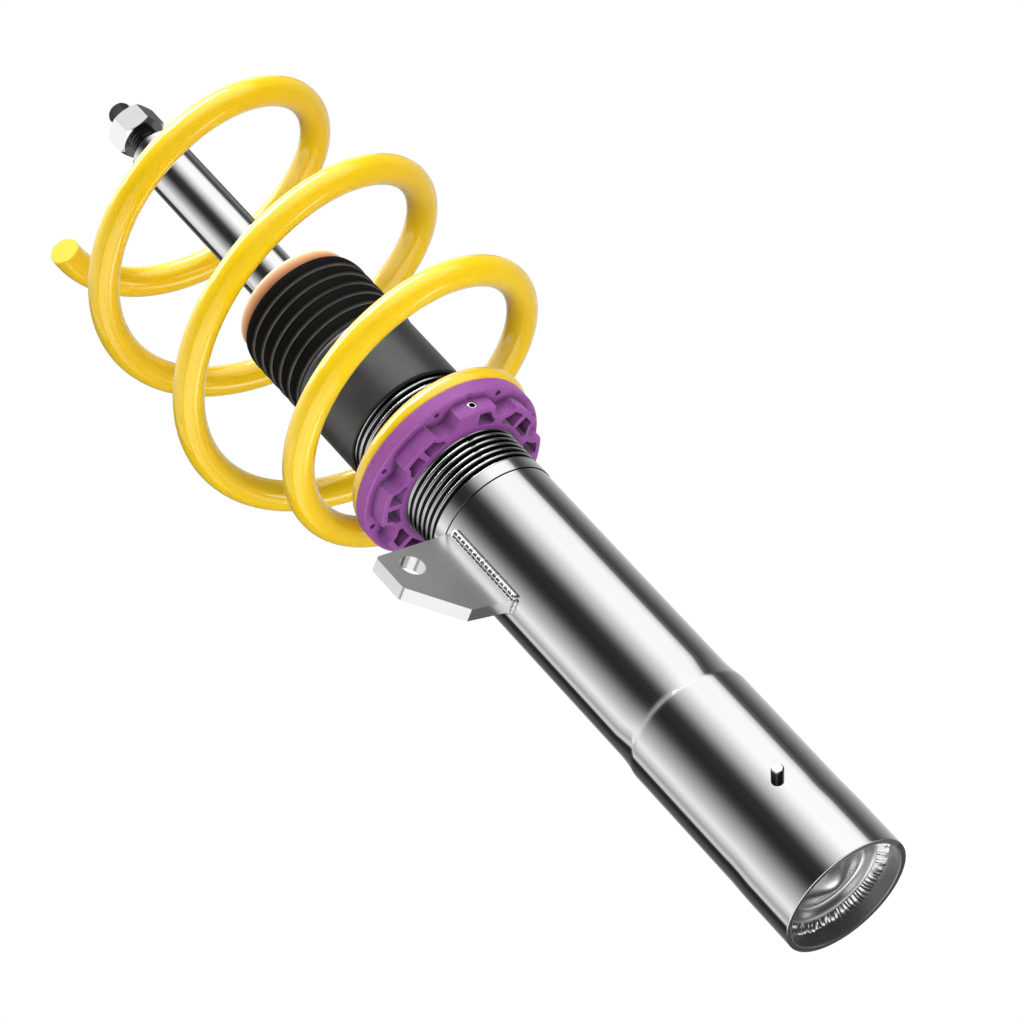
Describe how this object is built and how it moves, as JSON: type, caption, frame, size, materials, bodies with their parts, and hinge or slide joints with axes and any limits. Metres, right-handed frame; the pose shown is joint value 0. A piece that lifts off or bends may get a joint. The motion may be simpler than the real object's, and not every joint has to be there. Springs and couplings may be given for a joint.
{
  "type": "coilover",
  "caption": "Front coilover strut with a threaded lower spring perch, a tapering coil spring, a chromed piston rod, a dust boot and a welded link bracket.",
  "frame": {"origin": "centre of the lower rim of the strut tube, on its axis", "axes": "+Z along the strut's axis from the clamped lower end to the rod tip; the link bracket points to -X"},
  "size_m": [0.1494, 0.1493, 0.4876],
  "materials": {
    "tube_steel": "polished stainless tube",
    "thread_steel": "machined thread, dark between bright crests",
    "cap_steel": "pressed steel, dark satin",
    "weld": "rippled weld bead",
    "bracket_steel": "satin cut plate",
    "pin_steel": "turned pin",
    "bore_steel": "honed tube",
    "valve_iron": "sintered iron, machined",
    "shim_steel": "spring steel discs",
    "hardware": "plain machined steel",
    "guide_alloy": "machined",
    "bush_bronze": "bronze bush",
    "seal_rubber": "nitrile rubber",
    "gland_steel": "blackened steel",
    "rod_chrome": "hard chrome, polished",
    "band_ptfe": "bronze-filled band",
    "nut_zinc": "bright plated hexagon",
    "stop_foam": "microcellular polyurethane",
    "boot_rubber": "smooth black rubber",
    "spring_yellow": "glossy yellow powder coat",
    "perch_purple": "purple anodised",
    "pad_brass": "soft brass",
    "screw_steel": "plated socket screw"
  },
  "bodies": {
    "strut": {"strut_tube": "tube_steel", "threaded_body": "thread_steel", "base_cap": "cap_steel", "base_weld": "weld", "link_bracket": "bracket_steel", "bracket_weld": "weld", "locating_pin": "pin_steel", "pressure_tube": "bore_steel", "base_valve_body": "valve_iron", "base_valve_shims": "shim_steel", "base_valve_bolt": "hardware", "rod_guide": "guide_alloy", "guide_bush": "bush_bronze", "guide_oring": "seal_rubber", "rod_seal": "seal_rubber", "gland_nut": "gland_steel", "dust_wiper": "seal_rubber"},
    "piston_ring": {"piston_band": "band_ptfe"},
    "rod": {"piston_rod": "rod_chrome", "piston": "valve_iron", "compression_shims": "shim_steel", "rebound_shims": "shim_steel", "piston_nut": "hardware", "rebound_stop": "hardware", "rebound_buffer": "seal_rubber", "top_nut": "nut_zinc"},
    "boot": {"bump_stop": "stop_foam", "dust_boot": "boot_rubber"},
    "spring": {"coil_spring": "spring_yellow"},
    "perch": {"spring_perch": "perch_purple", "thread_pad": "pad_brass"},
    "screw": {"lock_screw": "screw_steel"}
  },
  "joints": [
    {"name": "rod_slide", "type": "slide", "parent": "strut", "child": "piston_ring", "axis": [0, 0, 1], "range_m": [-0.095, 0], "stiffness_N_per_m": 400, "springref_m": 0.6},
    {"name": "rod_turn", "type": "hinge", "parent": "piston_ring", "child": "rod", "pos_m": [0, 0, 0.176], "axis": [0, 0, 1], "range_deg": [-40, 40]},
    {"name": "boot_lift", "type": "slide", "parent": "strut", "child": "boot", "axis": [0, 0, 1], "range_m": [0, 0.095]},
    {"name": "perch_height", "type": "slide", "parent": "strut", "child": "spring", "axis": [0, 0, 1], "range_m": [-0.018, 0.012]},
    {"name": "perch_turn", "type": "hinge", "parent": "spring", "child": "perch", "pos_m": [0, 0, 0.243], "axis": [0, 0, 1], "range_deg": [-2162, 1442]},
    {"name": "screw_turn", "type": "hinge", "parent": "perch", "child": "screw", "pos_m": [-0.00579, -0.03248, 0.2443], "axis": [-0.1754, -0.9845, 0], "range_deg": [0, 540]}
  ],
  "couplings": [
    {"joint": "perch_turn", "follows": "perch_height", "rad_per_m": 2094.4}
  ]
}
